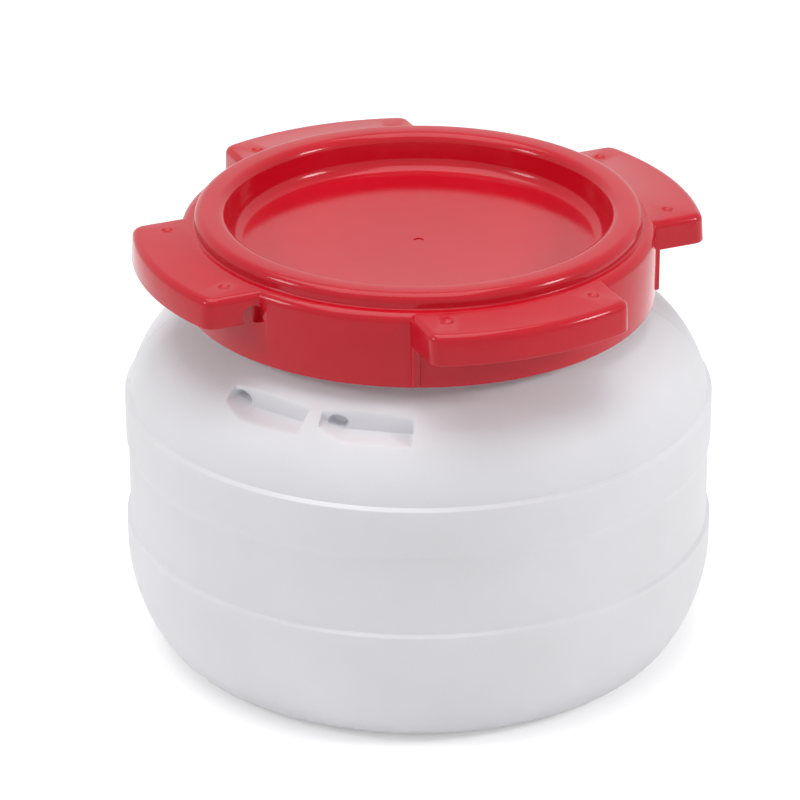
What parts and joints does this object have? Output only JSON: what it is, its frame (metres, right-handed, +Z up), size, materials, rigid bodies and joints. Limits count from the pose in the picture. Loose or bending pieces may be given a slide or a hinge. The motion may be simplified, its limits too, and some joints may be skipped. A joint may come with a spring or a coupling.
{
  "type": "wide-mouth plastic drum",
  "caption": "Round, low storage drum of white plastic with a wide neck and a red screw lid that has hollow grip lugs and a sunk panel.",
  "frame": {"origin": "middle of the foot, on the surface the drum stands on", "axes": "+Z up along the drum's axis; -Y towards the front, with the two shoulder pockets left of the front"},
  "size_m": [0.1988, 0.1988, 0.1544],
  "materials": {
    "drum_plastic": "natural white blow-moulded polyethylene, soft sheen",
    "seal_foam": "closed-cell foam, matt",
    "lid_plastic": "red injection-moulded plastic, semi-gloss"
  },
  "bodies": {
    "drum": {"drum_body": "drum_plastic"},
    "seal": {"lid_seal": "seal_foam"},
    "lid": {"screw_lid": "lid_plastic"}
  },
  "joints": [
    {"name": "lid_lift", "type": "slide", "parent": "drum", "child": "seal", "axis": [0, 0, 1], "range_m": [0, 0.0261]},
    {"name": "lid_turn", "type": "hinge", "parent": "seal", "child": "lid", "pos_m": [0, 0, 0.1489], "axis": [0, 0, 1], "range_deg": [0, 720]}
  ],
  "couplings": [
    {"joint": "lid_lift", "follows": "lid_turn", "m_per_rad": 0.002069}
  ]
}
